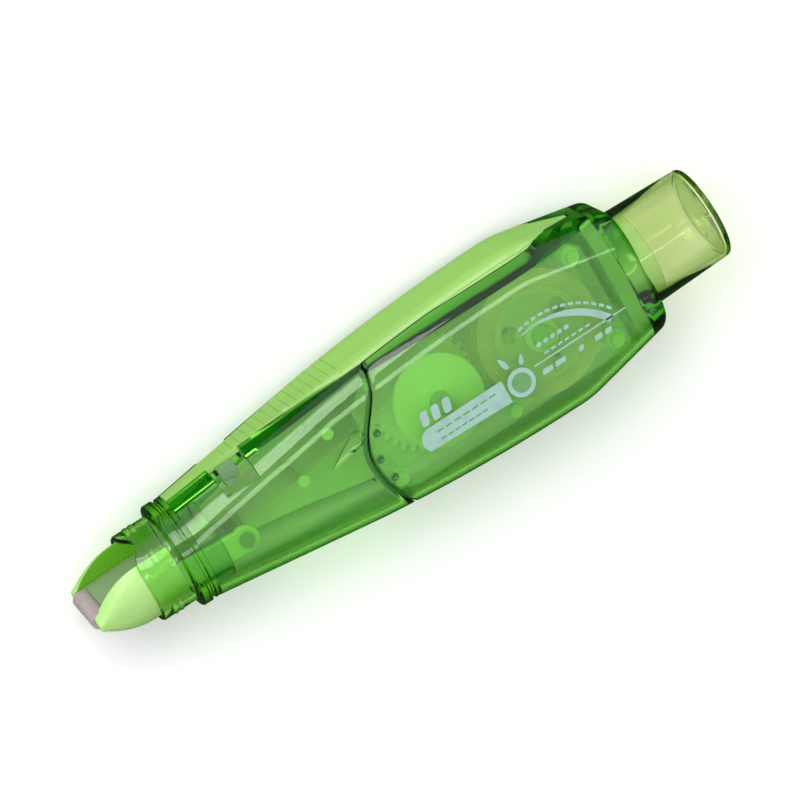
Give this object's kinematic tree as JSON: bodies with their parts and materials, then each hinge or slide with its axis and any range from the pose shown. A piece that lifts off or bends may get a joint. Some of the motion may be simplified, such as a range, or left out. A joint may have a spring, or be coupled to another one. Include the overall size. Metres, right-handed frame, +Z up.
{
  "type": "tape roller pen",
  "caption": "Pen-shaped tape roller: clear two-part casing with spine, posted cap, geared tape reels and a turned tip with a roller.",
  "frame": {"origin": "centre of the bounding box's bottom face; the pen rests on its flat back", "axes": "+X along the pen from the tip to the posted cap, +Y towards the spine strip, +Z up"},
  "size_m": [0.137, 0.0334, 0.0218],
  "materials": {
    "green_casing": "clear green polystyrene, polished",
    "pale_clear": "pale clear green polystyrene, polished",
    "opaque_green": "opaque light green, soft sheen",
    "bright_green": "opaque bright green, satin",
    "tip_green": "opaque pale green, smooth",
    "frame_green": "translucent green, moulded",
    "clear_plate": "clear moulded plastic",
    "natural_plastic": "natural acetal",
    "rubber_ring": "matt",
    "roller_grey": "grey, satin",
    "wound_tape": "wound film, layered edge",
    "used_tape": "wound film, layered edge",
    "free_tape": "thin film",
    "steel": "drawn pin"
  },
  "bodies": {
    "rear_casing": {"rear_casing": "green_casing", "end_plug": "green_casing"},
    "cap": {"cap": "pale_clear"},
    "cartridge": {"base_plate": "frame_green", "cover_plate": "clear_plate", "guide_pins": "frame_green", "stem_pin": "natural_plastic", "tip_carrier": "tip_green", "roller_pin": "steel", "feed_tape": "free_tape", "return_tape": "free_tape"},
    "supply_drive": {"supply_gear": "natural_plastic", "clutch_ring": "rubber_ring"},
    "supply_spool": {"supply_core": "natural_plastic", "supply_tape": "wound_tape", "supply_flange": "clear_plate"},
    "takeup_reel": {"takeup_gear": "bright_green", "takeup_disc": "bright_green", "takeup_tape": "used_tape"},
    "roller": {"tip_roller": "roller_grey"},
    "front_casing": {"front_casing": "green_casing", "nose_collar": "pale_clear", "spine_grip": "opaque_green"}
  },
  "joints": [
    {"name": "cap_pull", "type": "slide", "parent": "rear_casing", "child": "cap", "axis": [1, 0, 0], "range_m": [0, 0.03]},
    {"name": "cartridge_slide", "type": "slide", "parent": "rear_casing", "child": "cartridge", "axis": [-1, 0, 0], "range_m": [0, 0.05]},
    {"name": "front_casing_slide", "type": "slide", "parent": "cartridge", "child": "front_casing", "axis": [-1, 0, 0], "range_m": [0, 0.07]},
    {"name": "supply_gear_spin", "type": "hinge", "parent": "cartridge", "child": "supply_drive", "pos_m": [0.0294, -0.001, 0.0109], "axis": [0, 0, 1], "continuous": true},
    {"name": "clutch_slip", "type": "hinge", "parent": "supply_drive", "child": "supply_spool", "pos_m": [0.0294, -0.001, 0.0109], "axis": [0, 0, 1], "continuous": true},
    {"name": "takeup_spin", "type": "hinge", "parent": "cartridge", "child": "takeup_reel", "pos_m": [0.0069, -0.001, 0.0109], "axis": [0, 0, 1], "continuous": true},
    {"name": "roller_spin", "type": "hinge", "parent": "cartridge", "child": "roller", "pos_m": [-0.0667, 0, 0.0109], "axis": [0, -0.3584, 0.9336], "continuous": true}
  ],
  "couplings": [
    {"joint": "takeup_spin", "follows": "supply_gear_spin", "ratio": -1.0833},
    {"joint": "roller_spin", "follows": "supply_gear_spin", "ratio": 7.2727}
  ]
}
